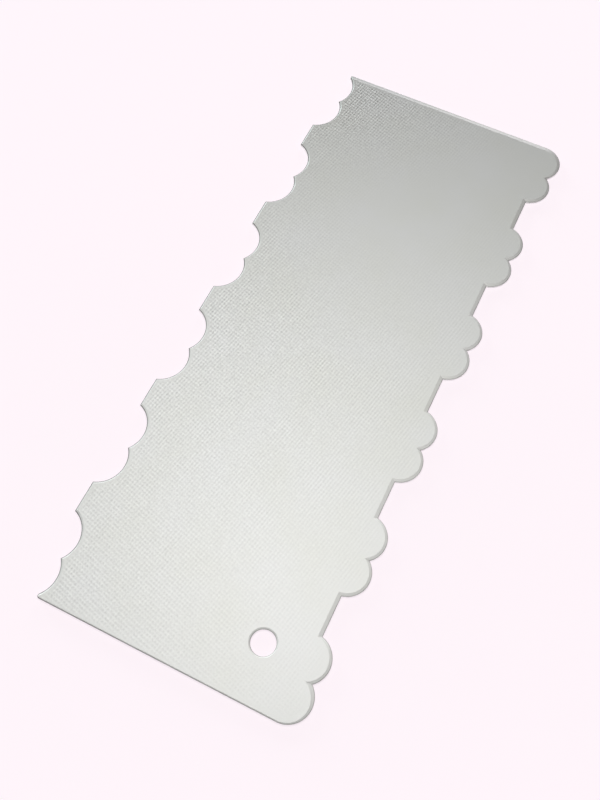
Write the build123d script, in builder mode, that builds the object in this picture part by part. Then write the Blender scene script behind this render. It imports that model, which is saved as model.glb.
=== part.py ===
from build123d import *
import os
from math import acos, asin, degrees

# Icing smoother, a comb for the side of a cake: one flat moulded sheet.
# One long edge carries pairs of round lobes, and the other has the same profile cut in as pairs of scoops.
# The sheet lies on its back face. X runs across it, Y runs along it, and the hole end is at -Y.
# The origin is the middle of the back face's bounding box. All lengths are in millimetres.

# The sheet
sheet_length = 230.0
sheet_thickness = 1.8
width_between_flats = 86.6

# Both long edges: pairs of arcs with a straight flat between one pair and the next
pair_count = 6
arcs_apart = 12.0

# The lobed edge, where the outermost lobes run smoothly into the sheet's two ends.
# The cusp is the notch between the two lobes of a pair, a little rounded.
lobe_radius = 7.8
lobe_centre_inset = 1.8
cusp_radius = 0.4

# The scooped edge, whose arcs are a little larger and sit a little nearer to the hole end
scoop_extra_radius = 1.5
scoop_centre_outset = 3.0
scoops_nearer_hole_end = 0.4

# The hole to hang it by, measured from the line of the flats between the lobes and from the hole end
hole_diameter = 7.8
hole_inset = 15.0
hole_height = 18.1

# The two horns, where the scooped edge meets the sheet's ends, are rounded a little wider than the bevel
horn_extra_radius = 0.1

# The bevel along every edge of both faces
bevel_width = 0.8
bevel_depth = 0.45

lobe_reach = lobe_radius - lobe_centre_inset
sheet_width = width_between_flats + lobe_reach
scooped_flats_x = -sheet_width / 2
lobed_flats_x = scooped_flats_x + width_between_flats
hole_end_y = -sheet_length / 2
far_end_y = sheet_length / 2
first_lobe_pair = lobe_radius + arcs_apart / 2
pair_pitch = (sheet_length - 2 * first_lobe_pair) / (pair_count - 1)
scoop_radius = lobe_radius + scoop_extra_radius
first_scoop_pair = first_lobe_pair - scoops_nearer_hole_end
horn_radius = bevel_width + horn_extra_radius


def comb_edge(flats_x, centre_inset, radius, first_pair):
    """Draws one long edge from the hole end to the far end, and returns its first and last points.

    Each arc bulges towards +X, so this is a row of lobes on the right and a row of scoops on the left.
    """
    centre_x = flats_x - centre_inset
    angle_at_flat = degrees(acos(centre_inset / radius))
    angle_at_cusp = degrees(asin(arcs_apart / 2 / radius))
    edge_start = None
    last_point = None
    for pair in range(pair_count):
        pair_y = hole_end_y + first_pair + pair * pair_pitch
        near_y = pair_y - arcs_apart / 2
        far_y = pair_y + arcs_apart / 2
        start_angle = angle_at_flat
        if pair == 0:
            start_angle = degrees(asin(min(1, (near_y - hole_end_y) / radius)))
        end_angle = angle_at_flat
        if pair == pair_count - 1:
            end_angle = degrees(asin(min(1, (far_end_y - far_y) / radius)))
        near_arc = CenterArc((centre_x, near_y), radius, -start_angle, start_angle + angle_at_cusp)
        far_arc = CenterArc((centre_x, far_y), radius, -angle_at_cusp, angle_at_cusp + end_angle)
        if last_point is None:
            edge_start = near_arc @ 0
        else:
            Line(last_point, near_arc @ 0)
        last_point = far_arc @ 1
    return edge_start, last_point


with BuildPart() as comb_sheet:
    with BuildSketch():
        with BuildLine():
            lobed_start, lobed_end = comb_edge(
                lobed_flats_x, lobe_centre_inset, lobe_radius, first_lobe_pair
            )
            scooped_start, scooped_end = comb_edge(
                scooped_flats_x, scoop_centre_outset, scoop_radius, first_scoop_pair
            )
            Line(scooped_start, lobed_start)
            Line(scooped_end, lobed_end)
        outline = make_face()
        hole_end, far_end = outline.edges().filter_by(Axis.X).sort_by(Axis.Y)
        horns = [end.vertices().sort_by(Axis.X)[0] for end in (hole_end, far_end)]
        cusps = outline.vertices().group_by(Axis.X)[-1]
        fillet(cusps, radius=cusp_radius)
        fillet(horns, radius=horn_radius)
        with Locations((lobed_flats_x - hole_inset, hole_end_y + hole_height)):
            Circle(hole_diameter / 2, mode=Mode.SUBTRACT)
    extrude(amount=sheet_thickness)
    for face in comb_sheet.faces().filter_by(Axis.Z):
        chamfer(face.edges(), length=bevel_width, length2=bevel_depth, reference=face)

comb_sheet.part.label = "comb_sheet"
os.makedirs("parts", exist_ok=True)
export_step(comb_sheet.part, "parts/comb_sheet.step")
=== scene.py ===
import math
import bpy
import numpy as np
from mathutils import Matrix, Vector
from mathutils.geometry import delaunay_2d_cdt


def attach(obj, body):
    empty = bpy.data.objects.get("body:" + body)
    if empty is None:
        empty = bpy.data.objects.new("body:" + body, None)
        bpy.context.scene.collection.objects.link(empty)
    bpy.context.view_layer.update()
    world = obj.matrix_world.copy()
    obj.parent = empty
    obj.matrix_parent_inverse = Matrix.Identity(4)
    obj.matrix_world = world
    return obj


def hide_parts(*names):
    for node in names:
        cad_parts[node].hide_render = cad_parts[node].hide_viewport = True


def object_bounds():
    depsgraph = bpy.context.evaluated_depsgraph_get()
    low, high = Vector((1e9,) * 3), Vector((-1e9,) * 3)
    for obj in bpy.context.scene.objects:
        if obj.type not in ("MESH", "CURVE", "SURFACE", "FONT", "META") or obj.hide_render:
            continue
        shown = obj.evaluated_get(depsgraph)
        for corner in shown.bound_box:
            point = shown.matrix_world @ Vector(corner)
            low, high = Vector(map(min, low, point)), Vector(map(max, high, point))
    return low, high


# Icing smoother: one flat embossed sheet with paired lobes on one long edge and paired scoops on the other.
# All lengths are in metres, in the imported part's own frame. The sheet's front face looks to +Z.

MM = 0.001

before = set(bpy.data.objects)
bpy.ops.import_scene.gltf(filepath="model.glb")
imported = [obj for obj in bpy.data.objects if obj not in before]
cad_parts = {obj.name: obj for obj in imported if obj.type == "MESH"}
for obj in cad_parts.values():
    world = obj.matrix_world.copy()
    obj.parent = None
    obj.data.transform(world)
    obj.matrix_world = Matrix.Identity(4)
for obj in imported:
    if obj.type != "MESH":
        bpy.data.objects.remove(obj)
cad_low, cad_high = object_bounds()

# The profile of the two long edges
PAIR_COUNT = 6
ARCS_APART = 12.0 * MM
LOBE_RADIUS = 7.8 * MM
LOBE_CENTRE_INSET = 1.8 * MM
SCOOP_RADIUS = 9.3 * MM
SCOOP_CENTRE_OUTSET = 3.0 * MM
SCOOPS_NEARER_HOLE_END = 0.4 * MM

# The hole to hang it by, measured from the line of the flats between the lobes and from the hole end
HOLE_RADIUS = 3.9 * MM
HOLE_INSET = 15.0 * MM
HOLE_HEIGHT = 18.1 * MM

# The rounding of the two horns in which the scooped edge meets the sheet's ends
HORN_RADIUS = 0.9 * MM

# The bevel along every edge of both faces: its width on each side, and how deep it goes
LOBE_BEVEL = 0.75 * MM
LOBED_FLAT_BEVEL = 1.1 * MM
SCOOP_BEVEL = 0.5 * MM
HOLE_END_BEVEL = 0.2 * MM
FAR_END_BEVEL = 1.7 * MM
HOLE_BEVEL = 0.35 * MM
BEVEL_DEPTH = 0.45 * MM

# The small rounding that leads from the bevel down to the upright side. At the far end and on the scooped
# edge its width is a share of this one. It starts at a slope from level, and its bands next to the bevel
# are painted dark, a painted shade line along the edge.
ROUNDING_WIDTH = 0.22 * MM
FAR_END_ROUNDING_SHARE = 0.05
SCOOP_ROUNDING_SHARE = 1.5
ROUNDING_START = math.radians(25)
ROUNDING_POINTS = 5
PAINTED_SHADE_BANDS = 2

# How finely the outline is divided, and the turn from which one of its points is a sharp corner
CORNER_TURN = math.radians(20)
HORN_STEPS = 12
ARC_STEPS = 22
FLAT_STEPS = 8
END_STEPS = 40
HOLE_STEPS = 96

# The linen emboss: a slanting grid of shallow pits, laid out by two waves. Each wave has its pitch and its
# direction from +X. No point of the grid lies nearer to the edge of the face than the gap.
FIRST_PITCH = 1.08 * MM
FIRST_ANGLE = math.radians(-12.2)
SECOND_PITCH = 1.22 * MM
SECOND_ANGLE = math.radians(74.8)
PIT_DEPTH = 0.10 * MM
PIT_EDGE_GAP = 0.22 * MM

# The emboss grows to its full strength over a margin inside the edges. The margin widens from the scooped
# edge to the lobed one, with this power of the way across.
SCOOPED_MARGIN = 1.5 * MM
LOBED_MARGIN = 4.0 * MM
MARGIN_POWER = 4

# It is gone round a line that runs in from the far lobed corner, given by two points: it has no strength up
# to the first distance from that line, and its full strength from the second on.
FAINT_LINE = ((45 * MM, 110 * MM), (0 * MM, 62 * MM))
FAINT_REACH = (7 * MM, 66 * MM)

# Its rows and its cross rows each have their own strengths at places along the sheet, counted from the hole
# end, and across it, from the scooped edge to the lobed one.
STRENGTH_PLACES = (0 * MM, 35 * MM, 70 * MM, 105 * MM, 140 * MM, 175 * MM, 210 * MM)
ROW_STRENGTHS = (0.30, 0.38, 0.67, 0.93, 0.90, 0.85, 1.95)
CROSS_STRENGTHS = (0.75, 0.75, 0.70, 1.05, 1.00, 0.88, 2.05)
ROWS_ACROSS = (1.1, 0.35)
CROSS_ACROSS = (0.95, 0.0)

# Points nearer to each other than this, in millimetres, are one point to the triangulation
SAME_POINT = 1e-6

# The places of the sheet's materials, and the names under which its mesh keeps the emboss's strengths
FACE_SLOT = 0
BEVEL_SLOT = 1
ROUNDING_SLOT = 2
WALL_SLOT = 3
STRENGTH_NAMES = ("linen_rows", "linen_cross_rows")

# The plastic's colours. The faces and the bevel are a mix of the first two. The wall is the upright side
# with the last bands of the rounding, painted brighter than the face's plastic: painted light that stands
# in for light coming through the edge. The rounding's first bands are painted dark, a painted shade line
# along the edge, which fades across the sheet towards +X by this much per metre.
PLASTIC = (0.699, 0.724, 0.713, 1)
PLASTIC_SHADE = (0.672, 0.697, 0.655, 1)
WALL_PAINTED_LIGHT = (0.88, 0.87, 0.88, 1)
ROUNDING_PAINTED_SHADE = (0.20, 0.19, 0.195, 1)
ROUNDING_SHADE_FADE_ACROSS = 6.0

# The plastic's gloss
PLASTIC_IOR = 1.5
FACE_SHINE = 0.5
BEVEL_SHINE = 0.35
WALL_SHINE = 1.0
ROUNDING_SHINE = 0.0

# How much the emboss's rows and cross rows lighten and darken the colour, and how far off the cross rows
# draw their noise, so that it differs from that of the rows
ROW_SHADE = 0.105
CROSS_ROW_SHADE = 0.07
CROSS_ROW_SHIFT = 5.0

# Patterns of noise: the scale, the detail, and the two values that the noise's 0 and 1 become
EMBOSS_PATCHES = (60.0, 3.0, 0.1, 1.9)
EMBOSS_THREADS = (450.0, 2.0, -0.4, 2.4)
EMBOSS_SPECKLE = (1900.0, 2.0, -0.30, 0.30)
FACE_CLOUDS = (40.0, 4.0, -0.4, 1.4)
WALL_CLOUDS = (120.0, 3.0, -0.3, 0.6)
ROUNDING_CLOUDS = (120.0, 3.0, -0.1, 0.6)
FACE_ROUGHNESS = (900.0, 3.0, 0.44, 0.56)
BEVEL_ROUGHNESS = (900.0, 3.0, 0.36, 0.48)
WALL_ROUGHNESS = (900.0, 3.0, 0.30, 0.40)
ROUNDING_ROUGHNESS = (900.0, 3.0, 0.50, 0.65)

# The fine grain in the surface of the faces and the bevel
GRAIN = (2500.0, 2.0, 0.0, 1.0)
GRAIN_STRENGTH = 0.3
GRAIN_DEPTH = 0.02 * MM

# The key lamp: a disc close above the hole end
KEY_PLACE = Vector((0.01, -0.06, 0.245))
KEY_SIZE = 0.12
KEY_POWER = 0.534
KEY_COLOUR = (1.0, 0.963, 0.957)

# The suns: how many degrees round from +Y towards -X each stands and how many degrees high, its strength and
# its colour. They light the sides of the sheet more than its face.
SUNS = {
    "north": ((7.6, 13.0), 0.905, (1.0, 0.93, 0.96)),
    "west": ((60.0, 10.0), 1.65, (0.88, 1.0, 1.0)),
    "south": ((200.0, 7.0), 0.45, (1.0, 0.96, 0.98)),
}
SUN_SPREAD = math.radians(18)

# The faint light from all round
FILL_COLOUR = (0.88, 1.0, 1.0, 1)
FILL_STRENGTH = 0.01

# The floor shows the background's colour. A share of what it shows takes the lamps' light and the sheet's
# shadow, and the rest darkens right beside the sheet.
BACKGROUND = (1.0, 0.915, 0.965, 1)
FLOOR_COLOUR = (0.94, 0.92, 0.93, 1)
SHADOW_FLOOR_COLOUR = (0.96, 0.895, 0.935)
SHADOW_SHARE = 0.17
KEY_LIGHT_SHARE = 0.835
CONTACT_SHADOW = (0.50, 0.46, 0.48, 1)
CONTACT_SHADOW_REACH = 0.3 * MM
CONTACT_SHADOW_SAMPLES = 8
FLOOR_SIZE = 6.0
FLOOR_GAP = 0.1 * MM

# The view: where the camera stands, what it aims at, how far it is turned, and its lens
CAMERA_PLACE = Vector((53.0, -131.0, 269.2)) * MM
CAMERA_AIM = Vector((0.6, -21.6, 1.8)) * MM
CAMERA_TURN = math.radians(26.0)
CAMERA_LENS = 39.87
CAMERA_SENSOR = 36.0

sheet_length = cad_high.y - cad_low.y
scooped_flats_x = cad_low.x
lobed_flats_x = cad_high.x - (LOBE_RADIUS - LOBE_CENTRE_INSET)
first_lobe_pair = LOBE_RADIUS + ARCS_APART / 2
pair_pitch = (sheet_length - 2 * first_lobe_pair) / (PAIR_COUNT - 1)
hole_centre = np.array((lobed_flats_x - HOLE_INSET, cad_low.y + HOLE_HEIGHT))


def arc(centre, radius, start, end):
    """Points along an arc, both ends included."""
    angles = np.linspace(start, end, ARC_STEPS + 1)
    return np.stack((centre[0] + radius * np.cos(angles), centre[1] + radius * np.sin(angles)), 1)


def horn(centre, radius, end_y, size):
    """The rounding of a horn between a scoop and the sheet's end.

    Returns the angle on the scoop at which the rounding starts, and its points from there to the end.
    """
    side = 1 if end_y > centre[1] else -1
    middle_y = end_y - side * size
    middle_x = centre[0] + math.sqrt((radius + size) ** 2 - (middle_y - centre[1]) ** 2)
    angle = math.atan2(side * (middle_y - centre[1]), middle_x - centre[0])
    turn = side * np.linspace(angle + math.pi, math.pi / 2, HORN_STEPS + 1)
    return angle, np.stack((middle_x + size * np.cos(turn), middle_y + size * np.sin(turn)), 1)


def edge_end(centre, radius, end_y, horn_size):
    """The angle at which a long edge's outermost arc stops, and the horn's stretch beyond it, if any."""
    if horn_size == 0:
        return math.asin(min(1.0, abs(end_y - centre[1]) / radius)), []
    angle, points = horn(centre, radius, end_y, horn_size)
    return angle, [points if end_y > centre[1] else points[::-1]]


def comb_edge(flats_x, centre_x, radius, first_pair, low_y, high_y, horn_size, moved=(0, 0)):
    """One long edge from low_y to high_y, as a list of stretches that share their end points.

    The first and the last arc may be moved along Y, so that they meet the bevels of the two ends smoothly.
    """
    at_flat = math.acos((flats_x - centre_x) / radius)
    stretches = []
    for pair in range(PAIR_COUNT):
        pair_y = cad_low.y + first_pair + pair * pair_pitch
        near_y = pair_y - ARCS_APART / 2
        far_y = pair_y + ARCS_APART / 2
        start = at_flat
        end = at_flat
        if pair == 0:
            near_y += moved[0]
            start, low_horn = edge_end((centre_x, near_y), radius, low_y, horn_size)
        if pair == PAIR_COUNT - 1:
            far_y += moved[1]
            end, high_horn = edge_end((centre_x, far_y), radius, high_y, horn_size)
        at_cusp = math.asin((far_y - near_y) / 2 / radius)
        near_arc = arc((centre_x, near_y), radius, -start, at_cusp)
        far_arc = arc((centre_x, far_y), radius, -at_cusp, end)
        if stretches:
            along = np.linspace(0, 1, FLAT_STEPS + 1)[:, None]
            stretches.append(stretches[-1][-1] * (1 - along) + near_arc[0] * along)
        stretches += [near_arc, far_arc]
    return low_horn + stretches + high_horn


def outline(share, rounding):
    """The sheet's outline moved inwards by a share of each side's bevel and a width of its rounding.

    Returns one closed ring of points.
    """
    low_y = cad_low.y + rounding + share * HOLE_END_BEVEL
    high_y = cad_high.y - FAR_END_ROUNDING_SHARE * rounding - share * FAR_END_BEVEL
    lobed = comb_edge(
        lobed_flats_x - rounding - share * LOBED_FLAT_BEVEL, lobed_flats_x - LOBE_CENTRE_INSET,
        LOBE_RADIUS - rounding - share * LOBE_BEVEL, first_lobe_pair, low_y, high_y, 0,
        (share * (HOLE_END_BEVEL - LOBE_BEVEL), share * (LOBE_BEVEL - FAR_END_BEVEL))
    )
    inset = SCOOP_ROUNDING_SHARE * rounding + share * SCOOP_BEVEL
    scooped = comb_edge(
        scooped_flats_x + inset, scooped_flats_x - SCOOP_CENTRE_OUTSET, SCOOP_RADIUS + inset,
        first_lobe_pair - SCOOPS_NEARER_HOLE_END, low_y, high_y, HORN_RADIUS - inset
    )
    scooped = [stretch[::-1] for stretch in scooped[::-1]]
    along = np.linspace(0, 1, END_STEPS + 1)[:, None]
    far_end = lobed[-1][-1] * (1 - along) + scooped[0][0] * along
    hole_end = scooped[-1][-1] * (1 - along) + lobed[0][0] * along
    return np.concatenate([stretch[:-1] for stretch in lobed + [far_end] + scooped + [hole_end]])


def corners_of(ring):
    """The indices of the points at which a ring turns sharply."""
    step = np.roll(ring, -1, 0) - ring
    heading = np.arctan2(step[:, 1], step[:, 0])
    turn = (heading - np.roll(heading, 1) + math.pi) % (2 * math.pi) - math.pi
    return np.flatnonzero(np.abs(turn) > CORNER_TURN)


def hole_ring(share, rounding):
    """The hole's rim moved into the sheet as the outline is, as a ring that runs the other way round."""
    angles = -np.arange(HOLE_STEPS) * 2 * math.pi / HOLE_STEPS
    radius = HOLE_RADIUS + rounding + share * HOLE_BEVEL
    return hole_centre + radius * np.stack((np.cos(angles), np.sin(angles)), 1)


def edge_profile():
    """The edge from the front face round to the back face.

    Each of its rows has the bevel's share, the rounding's width and the height.
    """
    turns = np.linspace(ROUNDING_START, math.pi / 2, ROUNDING_POINTS)
    radius = ROUNDING_WIDTH / (1 - math.sin(ROUNDING_START))
    widths = np.append(ROUNDING_WIDTH, radius * (1 - np.sin(turns)))
    drops = np.append(0, BEVEL_DEPTH + radius * (math.cos(ROUNDING_START) - np.cos(turns)))
    shares = np.zeros(len(widths))
    shares[0] = 1
    front = list(zip(shares, widths, cad_high.z - drops))
    back = list(zip(shares, widths, cad_low.z + drops))
    return front + back[::-1]


def inside(points, ring):
    """Which points lie inside a ring."""
    hits = np.zeros(len(points), bool)
    for (x0, y0), (x1, y1) in zip(ring, np.roll(ring, -1, 0)):
        crosses = (y0 > points[:, 1]) != (y1 > points[:, 1])
        with np.errstate(divide="ignore", invalid="ignore"):
            at_x = x0 + (points[:, 1] - y0) * (x1 - x0) / (y1 - y0)
        hits ^= crosses & (points[:, 0] < at_x)
    return hits


def distance(points, ring):
    """How far each point lies from a ring's nearest stretch. Two points make a line there and back."""
    nearest = np.full(len(points), np.inf)
    for start, end in zip(ring, np.roll(ring, -1, 0)):
        along = end - start
        share = np.clip((points - start) @ along / (along @ along), 0, 1)
        nearest = np.minimum(nearest, np.hypot(*(points - start - share[:, None] * along).T))
    return nearest


def emboss_waves():
    """The two waves of the emboss as rows, in turns per metre."""
    first = (math.cos(FIRST_ANGLE) / FIRST_PITCH, math.sin(FIRST_ANGLE) / FIRST_PITCH)
    second = (math.cos(SECOND_ANGLE) / SECOND_PITCH, math.sin(SECOND_ANGLE) / SECOND_PITCH)
    return np.array((first, second))


def emboss_strength(points, edge_distance):
    """How strong the emboss's rows and its cross rows are at each point, as two columns."""
    across = (points[:, 0] - cad_low.x) / (cad_high.x - cad_low.x)
    margin = SCOOPED_MARGIN + (LOBED_MARGIN - SCOOPED_MARGIN) * across ** MARGIN_POWER
    edge = np.clip(edge_distance / margin, 0, 1)
    clear = np.interp(distance(points, np.array(FAINT_LINE)), FAINT_REACH, (0, 1))
    common = edge ** 2 * (3 - 2 * edge) * clear
    from_hole_end = points[:, 1] - cad_low.y
    strengths = []
    for along_sheet, across_sheet in ((ROW_STRENGTHS, ROWS_ACROSS), (CROSS_STRENGTHS, CROSS_ACROSS)):
        rows = np.interp(from_hole_end, STRENGTH_PLACES, along_sheet)
        rows = rows * np.interp(across, (0, 1), across_sheet)
        strengths.append(common * rows)
    return np.stack(strengths, 1)


def emboss_cells():
    """The emboss's cells that cover the sheet, as a grid with two numbers for each cell."""
    corners = [(x, y) for x in (cad_low.x, cad_high.x) for y in (cad_low.y, cad_high.y)]
    reach = np.array(corners) @ emboss_waves().T
    low = np.floor(reach.min(0)).astype(int)
    high = np.ceil(reach.max(0)).astype(int)
    numbers = np.meshgrid(np.arange(low[0], high[0] + 1), np.arange(low[1], high[1] + 1), indexing="ij")
    return np.stack(numbers, -1)


def cell_points(cells, shift, border, hole_border):
    """One point of each cell, moved by a share of the cell from its first corner.

    Returns the points, which of them can be used for the face, and the emboss's strengths there.
    """
    points = (cells + shift).reshape(-1, 2) @ np.linalg.inv(emboss_waves()).T
    good = inside(points, border) & ~inside(points, hole_border)
    near = np.minimum(distance(points[good], border), distance(points[good], hole_border))
    strength = np.zeros((len(points), 2))
    strength[good] = emboss_strength(points[good], near)
    good[np.flatnonzero(good)[near < PIT_EDGE_GAP]] = False
    grid = cells.shape[:2]
    return points.reshape(*grid, 2), good.reshape(grid), strength.reshape(*grid, 2)


def cells_in_use(corner_good, pit_good):
    """Which cells are whole: their pit and all four corners can be used."""
    whole = pit_good.copy()
    whole[-1, :] = False
    whole[:, -1] = False
    for corner in (corner_good[:-1, :-1], corner_good[1:, :-1], corner_good[:-1, 1:], corner_good[1:, 1:]):
        whole[:-1, :-1] &= corner
    return whole


def ring_edges(start, size):
    """The edges of a closed ring of points whose indices follow one another."""
    index = start + np.arange(size)
    return np.stack((index, np.roll(index, -1)), 1)


def fringe_triangles(points, cell_sides, pits, rings):
    """Triangulates the plane round the whole cells, with the rings' edges kept.

    The cells' pits and the corners that whole cells surround are left out. The triangles, as indices of
    points, also fill the outside, the hole and the whole cells, which the caller takes away.
    """
    edges, uses = np.unique(np.sort(cell_sides, 1), axis=0, return_counts=True)
    limits = edges[uses == 1]
    surrounded = np.zeros(len(points), bool)
    surrounded[np.setdiff1d(np.unique(edges[uses == 2]), limits)] = True
    surrounded[pits] = True
    kept = np.flatnonzero(~surrounded)
    place = np.full(len(points), -1)
    place[kept] = np.arange(len(kept))
    limits = place[np.concatenate([limits] + rings)]
    coordinates = [Vector(point) for point in points[kept] / MM]
    _, _, faces, sources, _, _ = delaunay_2d_cdt(coordinates, limits.tolist(), [], 0, SAME_POINT)
    origin = kept[[source[0] for source in sources]]
    return origin[np.array([list(face) for face in faces])]


def embossed_face(border, hole_border):
    """Triangulates a face inside its border ring and round its hole: a pit in each cell of the emboss.

    Returns the new points with the emboss's two strengths there and with 1 where there is a pit, and
    triangles whose first indices are the border's and the hole's points.
    """
    waves = emboss_waves()
    cells = emboss_cells()
    corners, corner_good, corner_strength = cell_points(cells, 0.0, border, hole_border)
    pits, pit_good, pit_strength = cell_points(cells, 0.5, border, hole_border)
    whole = cells_in_use(corner_good, pit_good)

    fixed = len(border) + len(hole_border)
    corner_index = np.full(whole.shape, -1)
    corner_index[corner_good] = fixed + np.arange(corner_good.sum())
    pit_index = np.full(whole.shape, -1)
    pit_index[pit_good] = fixed + corner_good.sum() + np.arange(pit_good.sum())
    points = np.concatenate((border, hole_border, corners[corner_good], pits[pit_good]))
    strengths = np.concatenate((corner_strength[corner_good], pit_strength[pit_good]))
    in_pit = np.repeat((0.0, 1.0), (corner_good.sum(), pit_good.sum()))

    i, j = np.nonzero(whole)
    middle = pit_index[i, j]
    around = (corner_index[i, j], corner_index[i + 1, j], corner_index[i + 1, j + 1], corner_index[i, j + 1])
    sides = [np.stack((around[k], around[(k + 1) % 4]), 1) for k in range(4)]
    triangles = [np.column_stack((side, middle)) for side in sides]
    if np.linalg.det(waves) < 0:
        triangles = [triangle[:, ::-1] for triangle in triangles]

    rings = [ring_edges(0, len(border)), ring_edges(len(border), len(hole_border))]
    fringe = fringe_triangles(points, np.concatenate(sides), middle, rings)
    middles = points[fringe].mean(1)
    cell = np.floor(middles @ waves.T).astype(int) - cells[0, 0]
    cell = np.clip(cell, 0, np.array(whole.shape) - 1)
    wanted = inside(middles, border) & ~inside(middles, hole_border) & ~whole[cell[:, 0], cell[:, 1]]
    triangles.append(fringe[wanted])
    return points[fixed:], strengths, in_pit, np.concatenate(triangles)


def edge_quads(rows, ring_size, stride):
    """The faces between one row of the edge profile and the next, with the material slot of each."""
    quads = []
    slots = []
    for start, size in ((0, ring_size), (ring_size, HOLE_STEPS)):
        near, far = ring_edges(start, size).T
        for row in range(rows - 1):
            upper = row * stride
            lower = upper + stride
            quads.append(np.stack((near + lower, far + lower, far + upper, near + upper), 1))
            # The bevel, then the bands with the rounding's painted shade, then the wall with its painted
            # light
            slot = WALL_SLOT
            from_face = min(row, rows - 2 - row)
            if from_face == 0:
                slot = BEVEL_SLOT
            elif from_face <= PAINTED_SHADE_BANDS:
                slot = ROUNDING_SLOT
            slots.append(np.full(size, slot))
    return np.concatenate(quads), np.concatenate(slots)


def mark_corners(mesh, rows, stride, corners):
    """Marks the edges that run down the outline's sharp corners, from the front face to the back face."""
    ends = np.zeros(len(mesh.edges) * 2, np.int32)
    mesh.edges.foreach_get("vertices", ends)
    ends = ends.reshape(-1, 2)
    columns = ends % stride
    down = (ends < rows * stride).all(1) & (columns[:, 0] == columns[:, 1])
    mesh.edges.foreach_set("use_edge_sharp", down & np.isin(columns[:, 0], corners))


def build_sheet():
    """The whole sheet as one closed mesh: two embossed faces and the rounded edge between them."""
    profile = edge_profile()
    outer = [outline(share, rounding) for share, rounding, _ in profile]
    holes = [hole_ring(share, rounding) for share, rounding, _ in profile]
    extra, strengths, in_pit, triangles = embossed_face(outer[0], holes[0])

    rows = len(profile)
    stride = len(outer[0]) + HOLE_STEPS
    vertices = []
    for (_, _, height), ring, hole in zip(profile, outer, holes):
        both = np.concatenate((ring, hole))
        vertices.append(np.column_stack((both, np.full(len(both), height))))
    pit_drop = in_pit * strengths.mean(1) * PIT_DEPTH
    vertices.append(np.column_stack((extra, cad_high.z - pit_drop)))
    vertices.append(np.column_stack((extra, cad_low.z + pit_drop)))
    vertices = np.concatenate(vertices)

    front_start = rows * stride
    back_start = front_start + len(extra)
    on_ring = triangles < stride
    front = np.where(on_ring, triangles, triangles - stride + front_start)
    back = np.where(on_ring, triangles + (rows - 1) * stride, triangles - stride + back_start)[:, ::-1]
    quads, quad_slots = edge_quads(rows, len(outer[0]), stride)

    mesh = bpy.data.meshes.new("comb_sheet_looks")
    mesh.from_pydata(vertices.tolist(), [], front.tolist() + back.tolist() + quads.tolist())
    flat_count = len(front) + len(back)
    smooth = np.arange(len(mesh.polygons)) >= flat_count
    slots = np.concatenate((np.full(flat_count, FACE_SLOT), quad_slots)).astype(np.int32)
    mesh.polygons.foreach_set("use_smooth", smooth)
    mesh.polygons.foreach_set("material_index", slots)
    for name, strength in zip(STRENGTH_NAMES, strengths.T):
        linen = mesh.attributes.new(name, "FLOAT", "POINT")
        linen.data.foreach_set("value", np.concatenate((np.zeros(front_start), strength, strength)))
    mark_corners(mesh, rows, stride, corners_of(outer[rows // 2]))
    mesh.validate()
    mesh.update()
    piece = bpy.data.objects.new("comb_sheet_looks", mesh)
    bpy.context.scene.collection.objects.link(piece)
    return piece


class Nodes:
    """A short way to add and link shader nodes."""

    def __init__(self, tree):
        self.tree = tree
        self.tree.nodes.clear()

    def add(self, kind, **settings):
        node = self.tree.nodes.new(kind)
        for name, value in settings.items():
            setattr(node, name, value)
        return node

    def put(self, source, socket):
        """Links an output to an input, or sets the input to a value."""
        if isinstance(source, bpy.types.NodeSocket):
            self.tree.links.new(source, socket)
        else:
            socket.default_value = source

    def math(self, operation, first, second=0.0, third=0.0):
        node = self.add("ShaderNodeMath", operation=operation)
        for socket, value in zip(node.inputs, (first, second, third)):
            self.put(value, socket)
        return node.outputs[0]

    def moved(self, vector, shift):
        """A place moved by the same shift along each axis, to draw another noise."""
        node = self.add("ShaderNodeVectorMath", operation="ADD")
        self.put(vector, node.inputs[0])
        node.inputs[1].default_value = (shift, shift, shift)
        return node.outputs[0]

    def noise(self, vector, pattern):
        """A noise from one of the patterns above."""
        scale, detail, low, high = pattern
        node = self.add("ShaderNodeTexNoise")
        self.put(vector, node.inputs["Vector"])
        node.inputs["Scale"].default_value = scale
        node.inputs["Detail"].default_value = detail
        spread = self.add("ShaderNodeMapRange")
        self.put(node.outputs["Fac"], spread.inputs["Value"])
        spread.inputs["To Min"].default_value = low
        spread.inputs["To Max"].default_value = high
        return spread.outputs["Result"]

    def mix(self, factor, first, second, blend="MIX"):
        node = self.add("ShaderNodeMix", data_type="RGBA", blend_type=blend, clamp_result=False)
        self.put(factor, node.inputs[0])
        self.put(first, node.inputs[6])
        self.put(second, node.inputs[7])
        return node.outputs[2]


def emboss_shade(nodes, place):
    """How much light the linen emboss keeps at each place: less in its pits than on its ridges."""
    patches = nodes.noise(place, EMBOSS_PATCHES)
    shade = 1.0
    layers = zip(emboss_waves(), (ROW_SHADE, CROSS_ROW_SHADE), STRENGTH_NAMES, (0.0, CROSS_ROW_SHIFT))
    for wave, depth, name, shift in layers:
        strength = nodes.add("ShaderNodeAttribute", attribute_name=name).outputs["Fac"]
        turns = nodes.add("ShaderNodeVectorMath", operation="DOT_PRODUCT")
        nodes.put(place, turns.inputs[0])
        turns.inputs[1].default_value = (wave[0], wave[1], 0)
        height = nodes.math("COSINE", nodes.math("MULTIPLY", turns.outputs["Value"], 2 * math.pi))
        threads = nodes.noise(nodes.moved(place, shift), EMBOSS_THREADS)
        amount = nodes.math("MULTIPLY", nodes.math("MULTIPLY", strength, patches), threads)
        shade = nodes.math("MULTIPLY_ADD", height, nodes.math("MULTIPLY", amount, depth), shade)
        speckle = nodes.noise(nodes.moved(place, shift), EMBOSS_SPECKLE)
        shade = nodes.math("MULTIPLY_ADD", strength, speckle, shade)
    return shade


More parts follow.
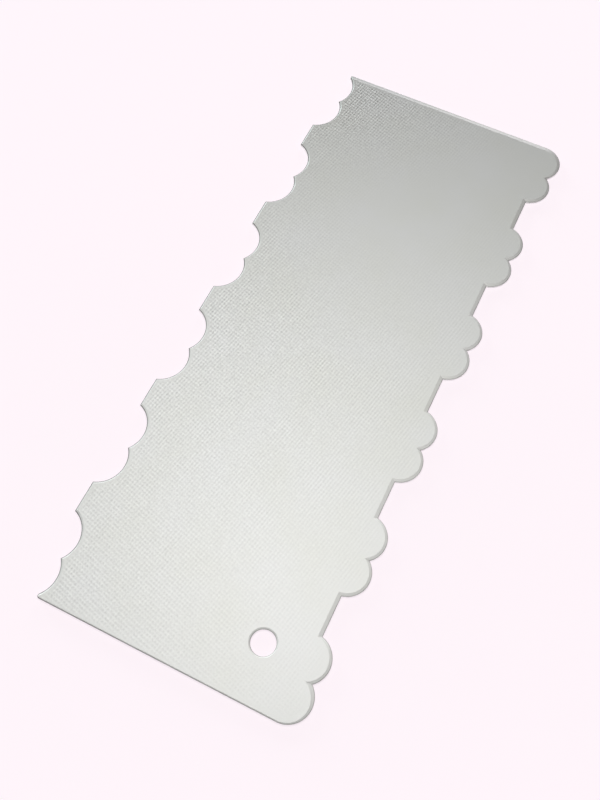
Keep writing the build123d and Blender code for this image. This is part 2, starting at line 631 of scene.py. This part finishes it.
def start_material(name, roughness, shine):
    """A new plastic material without its colour.

    Returns it with its nodes, its shader and the place that its noises are drawn from.
    """
    material = bpy.data.materials.new(name)
    material.use_nodes = True
    nodes = Nodes(material.node_tree)
    place = nodes.add("ShaderNodeTexCoord").outputs["Object"]
    output = nodes.add("ShaderNodeOutputMaterial")
    shader = nodes.add("ShaderNodeBsdfPrincipled")
    nodes.put(shader.outputs[0], output.inputs["Surface"])
    nodes.put(nodes.noise(place, roughness), shader.inputs["Roughness"])
    shader.inputs["IOR"].default_value = PLASTIC_IOR
    shader.inputs["Specular IOR Level"].default_value = shine
    return material, nodes, shader, place


def grained_plastic(name, roughness, shine, embossed):
    """The plastic of the faces, which are embossed, and of the bevel, which isn't."""
    material, nodes, shader, place = start_material(name, roughness, shine)
    colour = nodes.mix(nodes.noise(place, FACE_CLOUDS), PLASTIC, PLASTIC_SHADE)
    if embossed:
        colour = nodes.mix(1.0, colour, emboss_shade(nodes, place), "MULTIPLY")
    nodes.put(colour, shader.inputs["Base Color"])
    bump = nodes.add("ShaderNodeBump")
    bump.inputs["Strength"].default_value = GRAIN_STRENGTH
    bump.inputs["Distance"].default_value = GRAIN_DEPTH
    nodes.put(nodes.noise(place, GRAIN), bump.inputs["Height"])
    nodes.put(bump.outputs[0], shader.inputs["Normal"])
    return material


def painted_shade_rounding():
    """The dark part of the rounding: the same plastic, dulled, with painted shade in its colour that fades
    towards +X.
    """
    material, nodes, shader, place = start_material("rounding_with_painted_shade", ROUNDING_ROUGHNESS, ROUNDING_SHINE)
    across = nodes.add("ShaderNodeSeparateXYZ")
    nodes.put(place, across.inputs[0])
    clouds = nodes.noise(place, ROUNDING_CLOUDS)
    # The painted shade lightens across the sheet towards +X
    shade_fade = nodes.math("MULTIPLY_ADD", across.outputs["X"], ROUNDING_SHADE_FADE_ACROSS, clouds)
    nodes.put(nodes.mix(shade_fade, ROUNDING_PAINTED_SHADE, PLASTIC_SHADE), shader.inputs["Base Color"])
    return material


def painted_light_wall():
    """The upright side and the last bands of the rounding, painted brighter than the face: painted light."""
    material, nodes, shader, place = start_material("wall_with_painted_light", WALL_ROUGHNESS, WALL_SHINE)
    clouds = nodes.noise(place, WALL_CLOUDS)
    # Painted light: the wall's colour is brighter than the face's plastic
    nodes.put(nodes.mix(clouds, WALL_PAINTED_LIGHT, PLASTIC), shader.inputs["Base Color"])
    return material


def seen_directly(nodes):
    """1 where a camera, glossy or transmitted ray looks, and else 0."""
    path = nodes.add("ShaderNodeLightPath")
    seen = nodes.math("MAXIMUM", path.outputs["Is Camera Ray"], path.outputs["Is Glossy Ray"])
    return nodes.math("MAXIMUM", seen, path.outputs["Is Transmission Ray"])


def even_colour(nodes, colour):
    """A floor colour that evens out how the key lamp's light falls off across the floor.

    Below a lamp that looks straight down, the light falls as 1 / (1 + (distance / height)^2)^2.
    """
    place = nodes.add("ShaderNodeNewGeometry").outputs["Position"]
    span = nodes.add("ShaderNodeVectorMath", operation="DISTANCE")
    nodes.put(place, span.inputs[0])
    span.inputs[1].default_value = (KEY_PLACE.x, KEY_PLACE.y, cad_low.z)
    apart = nodes.math("POWER", nodes.math("DIVIDE", span.outputs["Value"], KEY_PLACE.z), 2.0)
    fall = nodes.math("POWER", nodes.math("ADD", apart, 1.0), -2.0)
    level = nodes.math("MULTIPLY_ADD", fall, KEY_LIGHT_SHARE, 1 - KEY_LIGHT_SHARE)
    scaled = nodes.add("ShaderNodeVectorMath", operation="SCALE")
    scaled.inputs[0].default_value = colour
    nodes.put(nodes.math("DIVIDE", 1.0, level), scaled.inputs["Scale"])
    return scaled.outputs[0]


def floor_paper():
    """The floor's material, which is plain paper to the light and the background's colour to the eye."""
    material = bpy.data.materials.new("floor_paper")
    material.use_nodes = True
    nodes = Nodes(material.node_tree)
    output = nodes.add("ShaderNodeOutputMaterial")
    paper = nodes.add("ShaderNodeBsdfDiffuse")
    paper.inputs["Color"].default_value = FLOOR_COLOUR
    shadowed = nodes.add("ShaderNodeBsdfDiffuse")
    nodes.put(even_colour(nodes, SHADOW_FLOOR_COLOUR), shadowed.inputs["Color"])
    nearby = nodes.add("ShaderNodeAmbientOcclusion", samples=CONTACT_SHADOW_SAMPLES)
    nearby.inputs["Distance"].default_value = CONTACT_SHADOW_REACH
    glow = nodes.add("ShaderNodeEmission")
    nodes.put(nodes.mix(nearby.outputs["AO"], CONTACT_SHADOW, BACKGROUND), glow.inputs["Color"])
    shown = nodes.add("ShaderNodeMixShader")
    shown.inputs[0].default_value = SHADOW_SHARE
    nodes.put(glow.outputs[0], shown.inputs[1])
    nodes.put(shadowed.outputs[0], shown.inputs[2])
    mixed = nodes.add("ShaderNodeMixShader")
    nodes.put(seen_directly(nodes), mixed.inputs[0])
    nodes.put(paper.outputs[0], mixed.inputs[1])
    nodes.put(shown.outputs[0], mixed.inputs[2])
    nodes.put(mixed.outputs[0], output.inputs["Surface"])
    return material


def build_floor():
    """A wide flat floor right under the sheet."""
    half = FLOOR_SIZE / 2
    height = cad_low.z - FLOOR_GAP
    corners = [(-half, -half, height), (half, -half, height), (half, half, height), (-half, half, height)]
    mesh = bpy.data.meshes.new("floor")
    mesh.from_pydata(corners, [], [(0, 1, 2, 3)])
    mesh.materials.append(floor_paper())
    floor = bpy.data.objects.new("floor", mesh)
    bpy.context.scene.collection.objects.link(floor)


def build_world():
    """The faint fill light, behind which the eye sees the background's colour."""
    world = bpy.data.worlds.new("studio")
    bpy.context.scene.world = world
    world.use_nodes = True
    nodes = Nodes(world.node_tree)
    output = nodes.add("ShaderNodeOutputWorld")
    fill = nodes.add("ShaderNodeBackground")
    fill.inputs["Color"].default_value = FILL_COLOUR
    fill.inputs["Strength"].default_value = FILL_STRENGTH
    shown = nodes.add("ShaderNodeBackground")
    shown.inputs["Color"].default_value = BACKGROUND
    shown.inputs["Strength"].default_value = 1.0
    mixed = nodes.add("ShaderNodeMixShader")
    nodes.put(seen_directly(nodes), mixed.inputs[0])
    nodes.put(fill.outputs[0], mixed.inputs[1])
    nodes.put(shown.outputs[0], mixed.inputs[2])
    nodes.put(mixed.outputs[0], output.inputs["Surface"])


def link_lamp(name, data):
    """Puts a lamp into the scene that the camera doesn't see."""
    lamp = bpy.data.objects.new(name, data)
    bpy.context.scene.collection.objects.link(lamp)
    lamp.visible_camera = False
    return lamp


def add_key():
    """A round lamp close above the hole end, looking straight down."""
    data = bpy.data.lights.new("key", "AREA")
    data.shape = "DISK"
    data.size = KEY_SIZE
    data.energy = KEY_POWER
    data.color = KEY_COLOUR
    link_lamp("key", data).location = KEY_PLACE


def add_sun(name, angles, strength, colour):
    """A broad soft light from far off."""
    data = bpy.data.lights.new(name, "SUN")
    data.angle = SUN_SPREAD
    data.energy = strength
    data.color = colour
    around, up = (math.radians(angle) for angle in angles)
    towards = Vector((-math.sin(around) * math.cos(up), math.cos(around) * math.cos(up), math.sin(up)))
    lamp = link_lamp(name, data)
    lamp.rotation_mode = "QUATERNION"
    lamp.rotation_quaternion = towards.to_track_quat("Z", "Y")


def build_camera():
    """The camera at the photograph's viewing angle."""
    data = bpy.data.cameras.new("camera")
    data.lens = CAMERA_LENS
    data.sensor_width = CAMERA_SENSOR
    camera = bpy.data.objects.new("camera", data)
    bpy.context.scene.collection.objects.link(camera)
    back = (CAMERA_PLACE - CAMERA_AIM).normalized()
    upward = Vector((-math.sin(CAMERA_TURN), math.cos(CAMERA_TURN), 0))
    right = upward.cross(back).normalized()
    turned = Matrix((right, back.cross(right), back)).transposed()
    camera.location = CAMERA_PLACE
    camera.rotation_mode = "QUATERNION"
    camera.rotation_quaternion = turned.to_quaternion()
    bpy.context.scene.camera = camera


sheet = build_sheet()
sheet.data.materials.append(grained_plastic("embossed_plastic", FACE_ROUGHNESS, FACE_SHINE, True))
sheet.data.materials.append(grained_plastic("bevel_plastic", BEVEL_ROUGHNESS, BEVEL_SHINE, False))
# The rounding's bands with painted shade, then the wall with painted light
sheet.data.materials.append(painted_shade_rounding())
sheet.data.materials.append(painted_light_wall())
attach(sheet, "root")
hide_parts("comb_sheet")

build_floor()
build_world()
add_key()
for sun, (angles, strength, colour) in SUNS.items():
    add_sun(sun, angles, strength, colour)
build_camera()
bpy.context.scene.view_settings.view_transform = "Standard"
